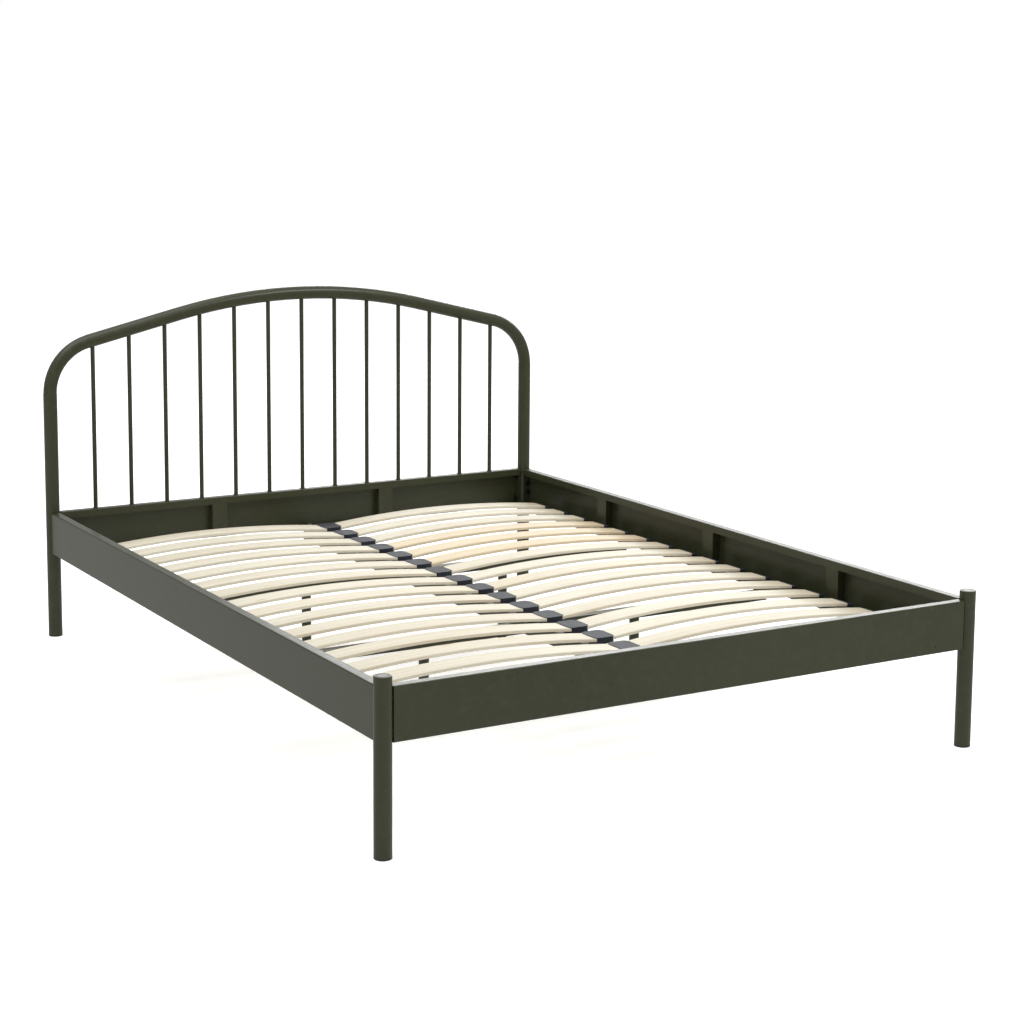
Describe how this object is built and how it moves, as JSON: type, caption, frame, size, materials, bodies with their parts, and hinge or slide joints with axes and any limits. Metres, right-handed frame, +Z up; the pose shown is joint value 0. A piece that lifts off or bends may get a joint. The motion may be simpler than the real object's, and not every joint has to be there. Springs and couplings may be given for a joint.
{
  "type": "metal bed frame",
  "caption": "Metal double bed frame: arched tube headboard with spindles, folded steel rails, round feet, and two rows of sprung wooden slats on a centre beam.",
  "frame": {"origin": "on the floor, below the middle of the frame", "axes": "+X across the bed to the right of someone at its foot, +Y from the foot towards the headboard, +Z up"},
  "size_m": [1.5682, 2.0681, 0.957],
  "materials": {
    "powder_coat": "satin",
    "birch": "satin",
    "moulding": "satin",
    "glide": "matte",
    "blackened_steel": "satin",
    "zinc": "satin"
  },
  "bodies": {
    "root": {"headboard_hoop": "powder_coat", "head_rail": "powder_coat", "foot_rail": "powder_coat", "side_rail_left": "powder_coat", "side_rail_right": "powder_coat", "foot_post_left": "powder_coat", "foot_post_right": "powder_coat", "post_caps": "powder_coat", "floor_glides": "glide", "head_stiffeners": "powder_coat", "foot_stiffeners": "powder_coat", "side_stiffeners": "powder_coat", "rail_end_plates": "powder_coat", "corner_bolts": "blackened_steel", "post_inserts": "zinc", "centre_beam_head": "powder_coat", "centre_beam_middle": "powder_coat", "centre_beam_foot": "powder_coat", "beam_screws": "zinc", "crossbar_head": "powder_coat", "crossbar_foot": "powder_coat", "crossbar_bolts": "zinc", "crossbar_nuts": "zinc", "leg_feet": "glide", "centre_caps": "moulding", "slat_holders_left": "moulding", "slat_holders_right": "moulding", "support_leg_1": "powder_coat", "support_leg_2": "powder_coat", "support_leg_3": "powder_coat", "support_leg_4": "powder_coat", "spindle_01": "powder_coat", "spindle_02": "powder_coat", "spindle_03": "powder_coat", "spindle_04": "powder_coat", "spindle_05": "powder_coat", "spindle_06": "powder_coat", "spindle_07": "powder_coat", "spindle_08": "powder_coat", "spindle_09": "powder_coat", "spindle_10": "powder_coat", "spindle_11": "powder_coat", "spindle_12": "powder_coat", "spindle_13": "powder_coat", "slat_row_01": "birch", "slat_row_02": "birch", "slat_row_03": "birch", "slat_row_04": "birch", "slat_row_05": "birch", "slat_row_06": "birch", "slat_row_07": "birch", "slat_row_08": "birch", "slat_row_09": "birch", "slat_row_10": "birch", "slat_row_11": "birch", "slat_row_12": "birch", "slat_row_13": "birch", "slat_row_14": "birch", "slat_row_15": "birch", "slat_row_16": "birch"}
  },
  "joints": []
}
